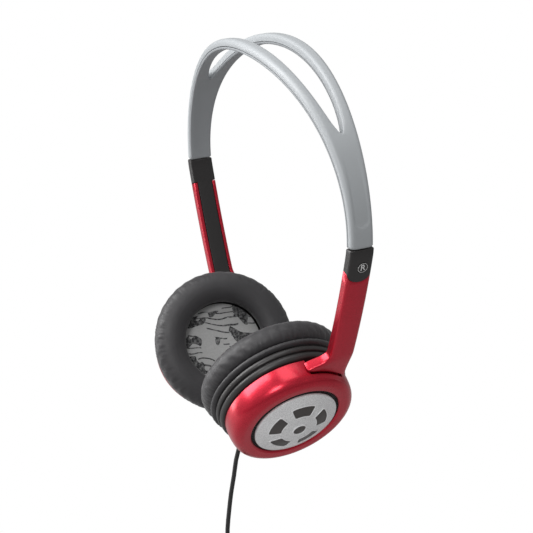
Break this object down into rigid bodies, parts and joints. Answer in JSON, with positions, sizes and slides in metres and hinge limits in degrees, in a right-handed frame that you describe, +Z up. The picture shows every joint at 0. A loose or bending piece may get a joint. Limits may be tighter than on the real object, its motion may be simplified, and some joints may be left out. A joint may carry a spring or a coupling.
{
  "type": "headphones",
  "caption": "Over-ear wired headphones: a two-strand headband, two sliding arms, tilting round ear cups with soft pads, and a cord with a plug.",
  "frame": {"origin": "the crown rest: midway between the two strands at the top of the arch, level with the liner's inner face", "axes": "+X is the wearer's right, +Y the wearer's front, +Z up"},
  "size_m": [0.1726, 0.0708, 0.2985],
  "materials": {
    "band_shell": "satin cool light grey",
    "band_liner": "satin mid grey",
    "black_plastic": "satin black",
    "red_metallic": "metallic red lacquer",
    "silver_disc": "fine metallic silver lacquer",
    "dark_inlay": "satin dark grey",
    "leatherette": "soft black synthetic leather",
    "speaker_cloth": "thin grey printed cloth",
    "steel": "plain",
    "gold": "gold plated",
    "copper": "enamelled wire",
    "film": "thin film",
    "circuit_board": "green solder mask",
    "cord_rubber": "matt black"
  },
  "bodies": {
    "headband": {"headband_shell": "band_shell", "headband_liner": "band_liner", "left_detent_clip": "steel", "right_detent_clip": "steel", "crossover_wire": "cord_rubber"},
    "right_arm": {"right_slider_strip": "steel", "right_arm_collar": "black_plastic", "right_arm_shell": "red_metallic", "right_arm_cover": "black_plastic", "right_side_badge": "black_plastic", "right_arm_screw": "steel"},
    "right_cup": {"right_hinge_pin": "steel", "right_cup_ring": "red_metallic", "right_disc_seat": "black_plastic", "right_outer_disc": "silver_disc", "right_disc_inlay": "dark_inlay", "right_baffle_ring": "black_plastic", "right_driver_frame": "black_plastic", "right_driver_magnet": "steel", "right_voice_coil": "copper", "right_diaphragm": "film", "right_driver_grille": "black_plastic", "right_grille_cloth": "speaker_cloth", "right_pad_skirt": "leatherette", "right_ear_pad": "leatherette", "right_terminal_board": "circuit_board", "right_baffle_screw_a": "steel", "right_baffle_screw_b": "steel"},
    "left_arm": {"left_slider_strip": "steel", "left_arm_collar": "black_plastic", "left_arm_shell": "red_metallic", "left_arm_cover": "black_plastic", "left_side_badge": "black_plastic", "left_arm_screw": "steel"},
    "left_cup": {"left_hinge_pin": "steel", "left_cup_ring": "red_metallic", "left_disc_seat": "black_plastic", "left_outer_disc": "silver_disc", "left_disc_inlay": "dark_inlay", "left_baffle_ring": "black_plastic", "left_driver_frame": "black_plastic", "left_driver_magnet": "steel", "left_voice_coil": "copper", "left_diaphragm": "film", "left_driver_grille": "black_plastic", "left_grille_cloth": "speaker_cloth", "left_pad_skirt": "leatherette", "left_ear_pad": "leatherette", "left_terminal_board": "circuit_board", "left_baffle_screw_a": "steel", "left_baffle_screw_b": "steel", "strain_relief": "cord_rubber", "cord_lead": "cord_rubber", "cord_coil": "cord_rubber", "cord_tie": "black_plastic", "plug_relief": "cord_rubber", "plug_body": "black_plastic", "plug_tip": "gold"}
  },
  "joints": [
    {"name": "right_arm_slide", "type": "slide", "parent": "headband", "child": "right_arm", "axis": [0.1045, 0, -0.9945], "range_m": [0, 0.017]},
    {"name": "right_cup_tilt", "type": "hinge", "parent": "right_arm", "child": "right_cup", "pos_m": [0.05629, -0.00598, -0.13655], "axis": [-0.2155, 0.9135, -0.3449], "range_deg": [-8, 4]},
    {"name": "left_arm_slide", "type": "slide", "parent": "headband", "child": "left_arm", "axis": [-0.1045, 0, -0.9945], "range_m": [0, 0.017]},
    {"name": "left_cup_tilt", "type": "hinge", "parent": "left_arm", "child": "left_cup", "pos_m": [-0.05629, -0.00218, -0.13615], "axis": [0.3073, 0.908, -0.2847], "range_deg": [-10, 2]}
  ]
}
